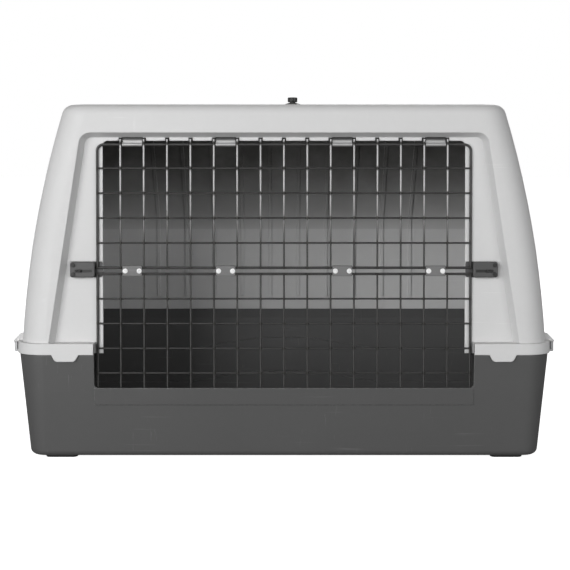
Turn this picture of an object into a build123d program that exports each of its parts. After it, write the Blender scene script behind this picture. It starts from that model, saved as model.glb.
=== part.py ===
from build123d import *
import math
import os

# Two-part moulded animal transport crate with a bi-fold wire door.
# Millimetres. The origin is on the ground under the centre of the crate.
# +X is to the right of someone facing the door, +Y is to the rear, +Z is up.

# ---------------------------------------------------------------- crate sizes
crate_width = 1040.0  # across the skirt, without the end clips
crate_depth = 674.0  # across the skirt, front to rear
roof_height = 686.0
foot_height = 5.0
rim_top = 223.0  # top edge of the tray, which carries the shell
skirt_drop = 18.0  # how far the skirt reaches below the rim

# ---------------------------------------------------------------- shell
shell_wall = 3.5
skirt_wall = 3.5
skirt_gap = 0.5  # between the skirt and the tray rim
skirt_corner = 58.0
skirt_step_x = 9.0  # skirt stands this far out from the end walls
skirt_step_y = 6.0  # and this far out from the front and rear walls
roof_half_width = 427.0
end_bulge = 14.6  # sagitta of the curved end walls
shell_corner = 52.0
roof_edge_radius = 22.0
rear_slope_rise = 243.0  # height of the rear wall's sloping part
rear_slope_run = 195.0  # how far the sloping part leans forward
rear_lean = 6.0  # how far the rear wall leans in below the slope
rear_bend_radius = 80.0
rib_count = 10
rib_pitch = 68.0
rib_width = 8.0
rib_height = 3.0
rib_groove_width = 4.0
rib_groove_depth = 1.5
rib_above_rim = 32.0
rib_below_roof = 43.0
roof_field_depth = 1.5
roof_field_end_margin = 101.0  # from the roof's ends
roof_field_front_margin = 156.0
roof_field_back_margin = 45.0
roof_field_corner = 26.0
vent_length = 70.0
vent_height = 10.0
vent_rows = 4
vent_row_pitch = 30.0
vent_below_roof = 123.0
vent_columns = 3
vent_column_pitch = 100.0
vent_from_front = 171.0

# ---------------------------------------------------------------- door panel in the shell
pocket_depth = 21.5
pocket_latch_room = 10.0  # between a latch and the side of the pocket
pocket_lean = 0.1546  # how fast the pocket's sides lean in towards the top
pocket_top_margin = 14.5  # pocket above the door's top wire
pocket_below = 40.0  # the pocket's outline starts this far under its lowest use
pocket_draft = 21.0
pocket_corner = 14.0
opening_lap = 10.0  # the door's frame covers this much of the panel
opening_rise = 7.5  # opening above the door's top wire
opening_corner = 10.0
header_rib_height = 28.0
strip_width = 20.0  # of the panel that runs down beside the opening
rim_reach = 5.0  # cutting shapes reach this far past the rim

# ---------------------------------------------------------------- tray
tray_wall = 4.0
tray_draft = 6.0
tray_band_height = 22.0  # upright band at the rim
tray_bottom_radius = 12.0
cutout_margin = 5.0  # doorway cut-out beyond the door
cutout_corner = 8.0
sill_lap = 18.5  # the sill stands this far above the door's bottom wire
sill_band_height = 33.0
sill_band_depth = 1.5
arch_low = 97.0  # the arched field's top edge below the rim, at the sides
arch_high = 70.0  # and in the middle
arch_inner_half = 56.0
arch_outer_half = 230.0
arch_step_down = 79.0
arch_depth = 5.0
arch_bend_radius = 120.0
arch_end_margin = 56.0  # the arched field ends this far from the rim's ends

# ---------------------------------------------------------------- tabs that snap the shell to the tray
tab_inset = 100.0  # middle of a tab from the skirt's ends
tab_top_width = 56.0
tab_bottom_width = 38.0
tab_drop = 13.0
tab_root = 4.0  # how far the tab starts up inside the skirt
tab_corner = 9.0
tab_nose_width = 28.0
tab_nose_depth = 2.0
tab_nose_height = 4.0
tab_nose_gap = 0.5
tab_nose_rise = 4.0  # from the tab's end to its nose

# ---------------------------------------------------------------- wire door
door_gap = 0.5  # between the door frame and the shell's door panel
frame_wire = 5.0
mesh_wire = 3.5
cell_width = 45.0
cell_count = 16
cell_height = 48.0
rows_per_panel = 5
panel_height = 237.5  # from hinge rod to hinge rod, the same in both panels
door_top = 608.5  # axis of the top wire
rod_spacing = 12.0  # between the two middle rods
cross_offset = 0.4  # cross wires in front of the frame's middle plane
weld_depth = 0.5
wire_tip = 10.5  # upright wires stand this far over the top wire's axis
frame_bend = 12.0
tip_notch_width = 8.0
tip_notch_clearance = 3.0

# ---------------------------------------------------------------- door hinges
hinge_cells = (1, 5, 10, 14)  # cells that hold a strap and a link, from the left
hinge_width = 38.0
running_gap = 0.05  # radial, round wires and pins
strap_thickness = 1.0
strap_shoulder = 12.5  # the strap turns in this far over the top wire's axis
strap_flange_height = 26.0
strap_slot_gap = 1.0
strap_screw_spacing = 20.0
strap_screw_drop = 7.0  # from the strap's top edge
strap_screw_length = 3.2
link_height = 20.0
link_half_depth = 4.75
link_edge = 1.2
screw_shank = 3.0
screw_hole_gap = 0.1  # radial, where a screw passes through
screw_head = 8.5
screw_head_height = 1.8
screw_head_round = 1.1
screw_slot_width = 1.0
screw_slot_depth = 0.7
link_screw_spacing = 27.0
link_screw_skin = 1.2  # of the rear half, left behind each screw hole
link_screw_end_gap = 0.3

# ---------------------------------------------------------------- latches
latch_length = 48.0
latch_height = 30.0
latch_lift = 2.6  # the cover's middle is this far over the bolt's
latch_depth = 12.0
latch_cover_gap = 1.5  # between the cover and the door frame
latch_plate_thickness = 2.8
latch_plate_gap = 0.2
latch_plate_reach = 12.0  # how far the plate passes behind the door frame
latch_cover_wall = 2.2
latch_corner = 5.0
latch_front_round = 2.4
latch_plate_corner = 4.0
latch_plate_clear = 3.0  # between the plate's inner end and the end of its recess
latch_window_wall = 5.5  # of the cover, before the thumb's window
bolt_thickness = 4.5
bolt_width = 15.0
bolt_clearance = 0.3
bolt_length = 40.0
bolt_chamfer = 1.5
thumb_length = 11.0
thumb_width = 4.5
thumb_stand = 4.0
thumb_edge = 0.8
thumb_grooves = 3
thumb_groove_pitch = 2.6
thumb_groove_width = 1.0
thumb_groove_depth = 1.0
latch_screw_inset = 6.0
latch_screw_end = 3.0  # a screw reaches this far past the plate

# ---------------------------------------------------------------- clips on the end walls
clip_inset = 81.0  # middle of a clip from the shell's front or rear
clip_length = 40.0
clip_side_gap = 0.5
clip_reach = 20.0  # how far the clips stand out from the end walls
clip_ear_width = 5.0
clip_ear_top = 17.0  # above the rim
clip_chamfer = 14.0
clip_pin = 4.0
clip_pin_gap = 0.02  # radial, where the pin sits in the ears
clip_pivot_out = 11.0  # from the end wall
clip_pivot_up = 4.0  # above the rim
clip_knuckle = 5.0
clip_knuckle_step = 1.5  # the arm meets the knuckle this far inside its top and bottom
clip_arm = 5.5
clip_set_back = 0.5  # the arm's face behind the ears' faces
clip_shoulder = 3.5
clip_toe = 1.5
clip_nose_height = 4.0
clip_nose_reach = 7.5
clip_nose_gap = 0.3
clip_grooves = 4
clip_groove_start = 4.5
clip_groove_pitch = 2.6
clip_groove_width = 1.1
clip_groove_depth = 0.7
clip_groove_margin = 5.0
lug_reach = 2.5  # beyond the skirt
lug_length = 24.0
lug_height = 12.0
lug_drop = 3.5  # the lug's top below the rim

# ---------------------------------------------------------------- roof clamp
knob_x = 17.0
knob_inset = 101.0  # from the shell's front
stud_diameter = 6.0
stud_gap = 0.3
knob_diameter = 19.0
knob_height = 9.0
knob_flutes = 8
knob_edge = 1.2
knob_flute_radius = 1.6
knob_flute_out = 0.64  # a flute's axis outside the knob's rim
knob_socket_depth = 1.0  # how far the stud's hole starts under the neck
knob_neck_diameter = 11.0
knob_neck_height = 1.5
knob_base_diameter = 46.0
knob_base_height = 7.5
knob_base_edge = 2.0
knob_base_crown = 15.0  # diameter of the flat top of the seat
clamp_plate_size = 44.0
clamp_plate_thickness = 4.0
clamp_plate_corner = 4.0
stud_below = 12.0  # length of stud under the clamp plate

# ---------------------------------------------------------------- feet
foot_margin_x = 18.4  # from the end of the flat underside
foot_margin_y = 1.5
foot_length = 62.0
foot_width = 34.0
foot_corner = 10.0
foot_edge = 1.5
foot_peg = 10.0
foot_peg_gap = 0.1

# ---------------------------------------------------------------- places worked out from the sizes
skirt_bottom = rim_top - skirt_drop
ledge_top = rim_top + shell_wall
skirt_half_x = crate_width / 2
skirt_half_y = crate_depth / 2
shell_half_x = skirt_half_x - skirt_step_x
shell_half_y = skirt_half_y - skirt_step_y
tray_half_x = skirt_half_x - skirt_wall - skirt_gap
tray_half_y = skirt_half_y - skirt_wall - skirt_gap
tray_corner = skirt_corner - skirt_wall - skirt_gap
band_bottom = rim_top - tray_band_height
tray_shrink = (band_bottom - foot_height) * math.tan(math.radians(tray_draft))
rear_bend_height = roof_height - rear_slope_rise
roof_back_y = shell_half_y - rear_lean - rear_slope_run
panel_face = -shell_half_y + pocket_depth
panel_back = panel_face + shell_wall
door_plane = panel_face - door_gap - frame_wire / 2
cross_plane = door_plane - cross_offset
upright_plane = cross_plane - mesh_wire + weld_depth
door_half_width = cell_width * cell_count / 2
upper_rod = door_top - panel_height
lower_rod = upper_rod - rod_spacing
door_bottom = lower_rod - panel_height
opening_half_width = door_half_width - opening_lap
opening_top = door_top + opening_rise
pocket_top = door_top + pocket_top_margin
cutout_half_width = door_half_width + cutout_margin
sill_height = door_bottom + sill_lap
tab_x = skirt_half_x - tab_inset
clip_y = shell_half_y - clip_inset
knob_y = -shell_half_y + knob_inset
foot_x = tray_half_x - tray_shrink - tray_bottom_radius - foot_margin_x - foot_length / 2
foot_y = tray_half_y - tray_shrink - tray_bottom_radius - foot_margin_y - foot_width / 2
link_height_mid = (upper_rod + lower_rod) / 2
hinge_x = [cell_width * (cell + 0.5) - door_half_width for cell in hinge_cells]
latch_inner = door_half_width + frame_wire / 2 + latch_cover_gap
latch_outer = latch_inner + latch_length
latch_mid = link_height_mid + latch_lift
latch_low = latch_mid - latch_height / 2
latch_high = latch_mid + latch_height / 2
pocket_half_latch = latch_outer + pocket_latch_room
strap_screw_z = door_top + strap_shoulder + strap_flange_height - strap_screw_drop
strap_screw_offsets = (-strap_screw_spacing / 2, strap_screw_spacing / 2)
clip_pivot_z = rim_top + clip_pivot_up
clip_pivot_x = shell_half_x + clip_pivot_out
CUT = 60.0  # a length that reaches right through a wall
OVER = 1.0  # how far a cutting shape passes a face
BITE = 0.5  # how far joined shapes sink into each other
TINY = 0.01  # keeps a comparison or a cut clear of a shared face


# ---------------------------------------------------------------- shared shapes
def block(x_span, y_span, z_span):
    """Box between the low and high value of each span."""
    size = [high - low for low, high in (x_span, y_span, z_span)]
    middle = [(low + high) / 2 for low, high in (x_span, y_span, z_span)]
    return Pos(*middle) * Box(*size)


def rod(start, end, diameter):
    """Round bar from one point to another."""
    axis = Vector(*end) - Vector(*start)
    plane = Plane(origin=start, z_dir=axis)
    return extrude(plane * Circle(diameter / 2), axis.length)


def profile_xz(points, y_low, y_high):
    """Prism along Y of a closed outline given as (x, z) points."""
    outline = make_face(Polyline(*points, close=True))
    return extrude(Plane.XZ.offset(-y_high) * outline, y_high - y_low)


def mirrored(shape):
    """The same shape on the other side of the crate's middle."""
    return mirror(shape, about=Plane.YZ)


def screw_along_y(x, y_head, z, length):
    """Pan-head screw that points to the rear, its head's underside at y_head."""
    face = y_head - screw_head_height
    shank = rod((x, y_head - BITE, z), (x, y_head + length, z), screw_shank)
    head = rod((x, face, z), (x, y_head, z), screw_head)
    rim = head.edges().filter_by(GeomType.CIRCLE).sort_by(Axis.Y)[0]
    head = fillet(rim, screw_head_round)
    slot_x = (x - screw_head, x + screw_head)
    slot_z = (z - screw_slot_width / 2, z + screw_slot_width / 2)
    slot = block(slot_x, (face - OVER, face + screw_slot_depth), slot_z)
    return shank + head - slot


# ---------------------------------------------------------------- shell
def end_wall_arc():
    """Centre (x, z) and radius of the arc that the right end wall follows."""
    low = Vector(shell_half_x, rim_top)
    high = Vector(roof_half_width, roof_height)
    chord = high - low
    radius = (chord.length / 2) ** 2 / (2 * end_bulge) + end_bulge / 2
    inward = Vector(-chord.Y, chord.X).normalized()
    centre = (low + high) * 0.5 + inward * (radius - end_bulge)
    return centre.X, centre.Y, radius


def end_wall_x(z, inset=0.0):
    """How far the end wall, moved in by inset, stands from the middle at a height."""
    centre_x, centre_z, radius = end_wall_arc()
    return centre_x + math.sqrt((radius - inset) ** 2 - (z - centre_z) ** 2)


def end_profile(inset, z_low):
    """Outline of the shell from the front, moved in by inset."""
    z_high = roof_height - inset
    z_mid = (z_low + z_high) / 2
    right = [(end_wall_x(z, inset), z) for z in (z_low, z_mid, z_high)]
    left = [(-x, z) for x, z in reversed(right)]
    outline = [
        Line(left[2], right[0]),
        ThreePointArc(*right),
        Line(right[2], left[0]),
        ThreePointArc(*left),
    ]
    return make_face(outline)


def side_profile(inset):
    """Outline of the shell from the end, moved in by inset, reaching below the rim."""
    floor = rim_top - CUT
    rear_low = shell_half_y
    rear_bend = shell_half_y - rear_lean
    slope = math.atan2(roof_height - rear_bend_height, rear_bend - roof_back_y)
    lean = math.atan2(rear_lean, rear_bend_height - rim_top)
    front = -shell_half_y + inset
    roof = roof_height - inset
    # the rear wall's two flat stretches, each moved in along its own normal
    low_shift = inset / math.cos(lean)
    top_back = roof_back_y + inset / math.tan(slope) - inset / math.sin(slope)
    turn = math.pi / 2 - slope - lean
    bend_y = rear_bend - inset * math.cos(lean + turn / 2) / math.cos(turn / 2)
    bend_z = rear_bend_height - inset * math.sin(lean + turn / 2) / math.cos(turn / 2)
    low_y = rear_low - low_shift + (rim_top - floor) * math.tan(lean)
    points = [(front, floor), (low_y, floor), (bend_y, bend_z), (top_back, roof), (front, roof)]
    outline = make_face(Polyline(*points, close=True))
    bend = outline.vertices().sort_by_distance((bend_y, bend_z))[0]
    return fillet(bend, rear_bend_radius - inset)


def shell_block(inset, z_low):
    """Solid with the shell's outer shape, every face moved in by inset, from z_low up."""
    from_front = extrude(Plane.XZ * end_profile(inset, z_low), crate_depth, both=True)
    from_end = extrude(Plane.YZ * side_profile(inset), crate_width, both=True)
    solid = from_front & from_end
    roof = roof_height - inset
    corners = [
        edge
        for edge in solid.edges()
        if abs(edge.center().X) > shell_half_x / 2 and z_low + 1 < edge.center().Z < roof - 1
    ]
    solid = fillet(corners, shell_corner - inset)
    rim = [edge for edge in solid.edges() if edge.center().Z > roof - TINY]
    return fillet(rim, roof_edge_radius - inset)


def pocket(grow, z_low):
    """The recess that holds the door panel, its faces moved out by grow, from z_low up."""
    top = pocket_top + grow
    low = z_low - pocket_below
    side = pocket_half_latch + grow * math.hypot(1, pocket_lean)
    half_low = side + (latch_mid - low) * pocket_lean
    half_high = side - (top - latch_mid) * pocket_lean
    points = [(-half_low, low), (half_low, low), (half_high, top), (-half_high, top)]
    outline = make_face(Polyline(*points, close=True))
    outline = fillet(outline.vertices().group_by(Axis.Y)[-1], pocket_corner + grow)
    floor = Plane.XZ.offset(-(panel_face + grow))
    recess = extrude(floor * outline, pocket_depth + grow + skirt_step_y + OVER, taper=-pocket_draft)
    room = block((-crate_width, crate_width), (-crate_depth, 0), (z_low, roof_height))
    return recess & room


def snap_tab():
    """One tab of the skirt, at the front on the right, with the nose on its inner face."""
    outer = -skirt_half_y
    inner = outer + skirt_wall
    top = skirt_bottom + tab_root
    bottom = skirt_bottom - tab_drop
    half_top = tab_top_width / 2
    half_bottom = tab_bottom_width / 2
    points = [(-half_top, top), (-half_bottom, bottom), (half_bottom, bottom), (half_top, top)]
    outline = make_face(Polyline(*points, close=True))
    outline = fillet(outline.vertices().group_by(Axis.Y)[0], tab_corner)
    tab = extrude(Plane.XZ.offset(-inner) * outline, skirt_wall)
    return Pos(tab_x, 0, 0) * tab + snap_nose(0.0)


def snap_nose(gap):
    """The tab's nose, or with a gap the recess in the tray that it drops into."""
    inner = -skirt_half_y + skirt_wall
    half = tab_nose_width / 2 + gap
    low = skirt_bottom - tab_drop + tab_nose_rise - gap
    high = low + tab_nose_height + 2 * gap
    depth = tab_nose_depth + gap
    return block((tab_x - half, tab_x + half), (inner - BITE - gap, inner + depth), (low, high))


def all_corners(shape):
    """Copies of a shape at the front right, front left, rear right and rear left."""
    right = [shape, mirror(shape, about=Plane.XZ)]
    return right + [mirrored(copy) for copy in right]


def rear_ribs(low_inset, high_inset, width):
    """Upright strips that follow the rear wall between two depths below its surface."""
    skin = shell_block(low_inset, rim_top) - shell_block(high_inset, rim_top - rim_reach)
    rear = (0, crate_depth)
    heights = (rim_top + rib_above_rim, roof_height - rib_below_roof)
    first = -rib_pitch * (rib_count - 1) / 2
    strips = []
    for index in range(rib_count):
        x = first + index * rib_pitch
        strip = block((x - width / 2, x + width / 2), rear, heights)
        strips.append(skin & strip)
    return strips


def end_vents():
    """Slots through both end walls, as cutting solids."""
    slot = SlotOverall(vent_length, vent_height)
    cuts = []
    for row in range(vent_rows):
        z = roof_height - vent_below_roof - row * vent_row_pitch
        for column in range(vent_columns):
            y = -shell_half_y + vent_from_front + column * vent_column_pitch
            plane = Plane(origin=(0, y, z), x_dir=(0, 1, 0), z_dir=(1, 0, 0))
            cuts.append(extrude(plane * slot, crate_width, both=True))
    return cuts


def roof_field():
    """Shallow field let into the flat of the roof, as a cutting solid."""
    front = -shell_half_y + roof_field_front_margin
    back = roof_back_y - roof_field_back_margin
    width = 2 * (roof_half_width - roof_field_end_margin)
    outline = RectangleRounded(width, back - front, roof_field_corner)
    return Pos(0, (front + back) / 2, roof_height - roof_field_depth) * extrude(outline, CUT)


def clip_ears():
    """The two moulded ears that carry one clip's pin, at the front right."""
    base = shell_half_x - shell_wall / 2
    out = shell_half_x + clip_reach
    low = rim_top
    high = rim_top + clip_ear_top
    points = [
        (base, low),
        (out, low),
        (out, high - clip_chamfer),
        (out - clip_chamfer, high),
        (base, high),
    ]
    inner = clip_length / 2 + clip_side_gap
    outer = inner + clip_ear_width
    ears = [
        profile_xz(points, -clip_y - outer, -clip_y - inner),
        profile_xz(points, -clip_y + inner, -clip_y + outer),
    ]
    bore_start = (clip_pivot_x, -clip_y - outer - OVER, clip_pivot_z)
    bore_end = (clip_pivot_x, -clip_y + outer + OVER, clip_pivot_z)
    bore = rod(bore_start, bore_end, clip_pin + 2 * clip_pin_gap)
    return ears[0] + ears[1] - bore


def skirt_notch():
    """Notch in the skirt that one clip and its tray lug sit in, at the front right."""
    half = clip_length / 2 + clip_side_gap
    z_span = (skirt_bottom - OVER, clip_pivot_z + clip_knuckle)
    return block((shell_half_x, skirt_half_x + OVER), (-clip_y - half, -clip_y + half), z_span)


def door_opening():
    """Opening of the door panel, with the notches for the wire tips and the straps."""
    outline = make_face(
        Polyline(
            (-opening_half_width, skirt_bottom - rim_reach),
            (opening_half_width, skirt_bottom - rim_reach),
            (opening_half_width, opening_top),
            (-opening_half_width, opening_top),
            close=True,
        )
    )
    outline = fillet(outline.vertices().group_by(Axis.Y)[-1], opening_corner)
    depth = (panel_face - OVER, panel_back + OVER)
    cut = extrude(Plane.XZ.offset(-depth[1]) * outline, depth[1] - depth[0])
    notch_top = door_top + wire_tip + tip_notch_clearance
    for index in range(1, cell_count):
        x = index * cell_width - door_half_width
        half = tip_notch_width / 2
        cut += block((x - half, x + half), depth, (opening_top - OVER, notch_top))
    for x in hinge_x:
        half = hinge_width / 2 + strap_slot_gap
        cut += block((x - half, x + half), depth, (opening_top - OVER, pocket_top))
    return cut


def latch_seat(side):
    """Recess in the door panel's face for one latch plate, and the pad behind it."""
    gap = latch_plate_gap
    edge = shell_wall
    deep = panel_face + latch_plate_thickness
    recess_x = (opening_half_width - OVER, latch_outer + gap)
    recess = block(recess_x, (panel_face - OVER, deep), (latch_low - gap, latch_high + gap))
    pad_x = (opening_half_width, latch_outer + edge)
    pad = block(pad_x, (panel_back - OVER, deep + edge), (latch_low - edge, latch_high + edge))
    if side < 0:
        recess = mirrored(recess)
        pad = mirrored(pad)
    return recess, pad


def upper_shell():
    """Light upper half: walls, roof, skirt, door panel, ears, tabs, ribs and vents."""
    outer = shell_block(0.0, rim_top)
    skirt = Pos(0, 0, skirt_bottom) * extrude(
        RectangleRounded(crate_width, crate_depth, skirt_corner), ledge_top - skirt_bottom
    )
    under = Pos(0, 0, skirt_bottom - OVER) * extrude(
        RectangleRounded(
            crate_width - 2 * skirt_wall, crate_depth - 2 * skirt_wall, skirt_corner - skirt_wall
        ),
        rim_top - skirt_bottom + OVER,
    )
    cavity = shell_block(shell_wall, rim_top - rim_reach) - pocket(shell_wall, rim_top)
    shell = outer + skirt - pocket(0.0, ledge_top) - under - cavity

    doorway_low = block(
        (-cutout_half_width - skirt_gap, cutout_half_width + skirt_gap),
        (-crate_depth, panel_face),
        (skirt_bottom - OVER, ledge_top + TINY),
    )
    shell -= doorway_low
    strip_x = (opening_half_width, opening_half_width + strip_width)
    strip = block(strip_x, (panel_face, panel_back), (skirt_bottom, ledge_top + OVER))
    shell += [strip, mirrored(strip)]
    header = block(
        (-opening_half_width, opening_half_width),
        (panel_face, panel_back),
        (pocket_top, pocket_top + shell_wall + header_rib_height),
    )
    shell += header

    seats = [latch_seat(1), latch_seat(-1)]
    shell += [pad for recess, pad in seats]
    shell -= door_opening()
    shell -= [recess for recess, pad in seats]

    shell -= all_corners(skirt_notch())
    shell += all_corners(clip_ears())
    shell += all_corners(snap_tab())
    shell += rear_ribs(shell_wall - BITE, shell_wall + rib_height, rib_width)
    shell -= rear_ribs(0.0, rib_groove_depth, rib_groove_width)
    shell -= end_vents()
    shell -= roof_field()
    for x, z in strap_screw_places():
        start = panel_back + strap_thickness - strap_screw_length
        shell -= rod((x, start, z), (x, panel_back + OVER, z), screw_shank)
    for x, z in latch_screw_places():
        end = panel_face + latch_plate_thickness + shell_wall + OVER
        shell -= rod((x, panel_face - OVER, z), (x, end, z), screw_shank)
    stud_hole = stud_diameter + 2 * stud_gap
    below_roof = roof_height - shell_wall - OVER
    shell -= rod((knob_x, knob_y, below_roof), (knob_x, knob_y, roof_height + OVER), stud_hole)
    return shell


# ---------------------------------------------------------------- tray
def tray_block(inset, z_low, z_high):
    """Tapered block with the tray's outer shape, its sides moved in by inset."""
    shrink = (band_bottom - z_low) * math.tan(math.radians(tray_draft))
    width = 2 * (tray_half_x - shrink - inset)
    depth = 2 * (tray_half_y - shrink - inset)
    corner = tray_corner - shrink - inset
    base = RectangleRounded(width, depth, corner)
    return Pos(0, 0, z_low) * extrude(base, z_high - z_low, taper=-tray_draft)


def tray_solid(inset, z_low, top):
    """Tray shape with a rounded bottom edge and an upright band at the rim."""
    lower = tray_block(inset, z_low, band_bottom)
    bottom = lower.faces().sort_by(Axis.Z)[0].edges()
    lower = fillet(bottom, tray_bottom_radius - inset)
    band = RectangleRounded(2 * (tray_half_x - inset), 2 * (tray_half_y - inset), tray_corner - inset)
    return lower + Pos(0, 0, band_bottom) * extrude(band, top - band_bottom)


def arch_pad(drop, depth):
    """Raised field inside the rear wall whose top edge rises in the middle."""
    low = rim_top - arch_low - drop
    high = rim_top - arch_high - drop
    end = tray_half_x - arch_end_margin
    points = [
        (-end, foot_height),
        (end, foot_height),
        (end, low),
        (arch_outer_half, low),
        (arch_inner_half, high),
        (-arch_inner_half, high),
        (-arch_outer_half, low),
        (-end, low),
    ]
    outline = make_face(Polyline(*points, close=True))
    bends = [v for v in outline.vertices() if abs(v.X) < end - 1]
    outline = fillet(bends, arch_bend_radius)
    prism = extrude(Plane.XZ * outline, -crate_depth)
    outside = tray_block(tray_wall - BITE, foot_height + OVER, band_bottom)
    inside = tray_block(tray_wall + depth, foot_height, band_bottom + OVER)
    return (outside - inside) & prism


def tray_lug():
    """Lug under the front right clip."""
    x_span = (tray_half_x - tray_wall / 2, skirt_half_x + lug_reach)
    z_high = rim_top - lug_drop
    half = lug_length / 2
    return block(x_span, (-clip_y - half, -clip_y + half), (z_high - lug_height, z_high))


def lower_tray():
    """Dark lower half: floor, walls, rim, doorway sill, lugs and the stepped rear wall."""
    tray = tray_solid(0.0, foot_height, rim_top) - tray_solid(
        tray_wall, foot_height + tray_wall, rim_top + OVER
    )
    tray += arch_pad(0.0, arch_depth)
    tray += arch_pad(arch_step_down, 2 * arch_depth)
    cutout = make_face(
        Polyline(
            (-cutout_half_width, sill_height),
            (cutout_half_width, sill_height),
            (cutout_half_width, rim_top + rim_reach),
            (-cutout_half_width, rim_top + rim_reach),
            close=True,
        )
    )
    cutout = fillet(cutout.vertices().group_by(Axis.Y)[0], cutout_corner)
    tray -= extrude(Plane.XZ.offset(tray_half_y / 2) * cutout, crate_depth)
    band = block(
        (-cutout_half_width, cutout_half_width),
        (-crate_depth, -tray_half_y / 2),
        (sill_height - sill_band_height, sill_height),
    )
    band_skin = tray_block(-sill_band_depth, foot_height + OVER, band_bottom)
    tray += (band & band_skin) - tray_block(BITE, foot_height, band_bottom + OVER)
    tray -= all_corners(snap_nose(tab_nose_gap))
    tray += all_corners(tray_lug())
    for x, y in foot_places():
        tray -= rod((x, y, 0), (x, y, foot_height + tray_wall + OVER), foot_peg + 2 * foot_peg_gap)
    return tray


def foot_places():
    """Centres (x, y) of the four feet."""
    return [(x, y) for x in (-foot_x, foot_x) for y in (-foot_y, foot_y)]


def rubber_foot(x, y):
    """Pad under the tray with a peg pressed up into the floor."""
    pad = extrude(RectangleRounded(foot_length, foot_width, foot_corner), foot_height)
    pad = fillet(pad.faces().sort_by(Axis.Z)[0].edges(), foot_edge)
    peg = Cylinder(foot_peg / 2, foot_height + tray_wall, align=(Align.CENTER, Align.CENTER, Align.MIN))
    return Pos(x, y, 0) * (pad + peg)


# ---------------------------------------------------------------- wire door
def bent_frame(rod_height, far_height):
    """Frame wire that runs out from a rod, along the far edge and back."""
    half = door_half_width
    path = FilletPolyline(
        (-half, door_plane, rod_height),
        (-half, door_plane, far_height),
        (half, door_plane, far_height),
        (half, door_plane, rod_height),
        radius=frame_bend,
    )
    section = Plane(origin=path @ 0, z_dir=path % 0) * Circle(frame_wire / 2)
    return sweep(section, path=path)


def grille(rod_height, far_height, tip):
    """One welded wire panel: bent frame, hinge rod, cross wires and uprights."""
    half = door_half_width
    step = cell_height if far_height > rod_height else -cell_height
    overhang = frame_wire / 2
    rod_start = (-half - overhang, door_plane, rod_height)
    rod_end = (half + overhang, door_plane, rod_height)
    wires = [rod(rod_start, rod_end, frame_wire)]
    for row in range(1, rows_per_panel):
        z = rod_height + row * step
        wires.append(rod((-half, cross_plane, z), (half, cross_plane, z), mesh_wire))
    direction = 1 if step > 0 else -1
    start = rod_height - direction * frame_wire / 2
    end = far_height + direction * tip
    for index in range(1, cell_count):
        x = index * cell_width - half
        wires.append(rod((x, upright_plane, start), (x, upright_plane, end), mesh_wire))
    return bent_frame(rod_height, far_height).fuse(*wires)


# ---------------------------------------------------------------- door hinges
def strap_screw_places():
    """(x, z) of the screws that hold the straps."""
    return [(x + offset, strap_screw_z) for x in hinge_x for offset in strap_screw_offsets]


def top_strap(x):
    """Strap rolled round the top wire, which runs up its notch and in over the panel."""
    inner = frame_wire / 2 + running_gap
    outer = inner + strap_thickness
    shoulder = door_top + strap_shoulder
    under = shoulder - strap_thickness
    rear = door_plane + outer
    inside = panel_back + strap_thickness
    flange_top = shoulder + strap_flange_height
    loop = Pos(door_plane, door_top) * (Circle(outer) - Circle(inner))
    front = door_plane + inner
    riser = [(front, door_top), (front, shoulder), (rear, shoulder), (rear, door_top)]
    shelf = [(front, under), (front, shoulder), (inside, shoulder), (inside, under)]
    flange = [(panel_back, under), (panel_back, flange_top), (inside, flange_top), (inside, under)]
    section = loop
    for strip in (riser, shelf, flange):
        section += make_face(Polyline(*strip, close=True))
    strap = extrude(Plane.YZ.offset(x - hinge_width / 2) * section, hinge_width)
    hole = screw_shank + 2 * screw_hole_gap
    for offset in strap_screw_offsets:
        start = (x + offset, panel_back - OVER, strap_screw_z)
        end = (x + offset, inside + OVER, strap_screw_z)
        strap -= rod(start, end, hole)
    return strap


def strap_screws():
    """Screws through the straps into the header rib, heads inside the crate."""
    screws = []
    head_face = panel_back + strap_thickness
    top = head_face + screw_head_height
    for x, z in strap_screw_places():
        shank = rod((x, head_face - strap_screw_length, z), (x, head_face + BITE, z), screw_shank)
        head = rod((x, head_face, z), (x, top, z), screw_head)
        rim = head.edges().filter_by(GeomType.CIRCLE).sort_by(Axis.Y)[-1]
        screws.append(shank + fillet(rim, screw_head_round))
    return Compound(screws)


def link_screw_places(x):
    """X of the two screws of the link centred on x."""
    return (x - link_screw_spacing / 2, x + link_screw_spacing / 2)


def link_half(x, front):
    """Front or rear half of a link that joins the two middle rods."""
    half_w = hinge_width / 2
    half_h = link_height / 2
    far = door_plane - link_half_depth if front else door_plane + link_half_depth
    span = (min(far, door_plane), max(far, door_plane))
    heights = (link_height_mid - half_h, link_height_mid + half_h)
    body = block((x - half_w, x + half_w), span, heights)
    outer_face = body.faces().sort_by(Axis.Y)[0 if front else -1]
    body = fillet(outer_face.edges(), link_edge)
    bore = frame_wire + 2 * running_gap
    for z in (upper_rod, lower_rod):
        body -= rod((x - half_w - OVER, door_plane, z), (x + half_w + OVER, door_plane, z), bore)
    for screw_x in link_screw_places(x):
        start = (screw_x, door_plane - link_half_depth - OVER, link_height_mid)
        end = (screw_x, door_plane + link_half_depth - link_screw_skin, link_height_mid)
        body -= rod(start, end, screw_shank)
    return body


def link_screws():
    """Screws that clamp the halves of all the links."""
    head_face = door_plane - link_half_depth
    length = 2 * link_half_depth - link_screw_skin - link_screw_end_gap
    screws = []
    for x in hinge_x:
        for screw_x in link_screw_places(x):
            screws.append(screw_along_y(screw_x, head_face, link_height_mid, length))
    return Compound(screws)


# ---------------------------------------------------------------- latches
def latch_screw_places():
    """(x, z) of the screws of both latches."""
    outer = latch_outer - latch_screw_inset
    heights = (latch_low + latch_screw_inset, latch_high - latch_screw_inset)
    return [(side * outer, z) for side in (-1, 1) for z in heights]


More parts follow.
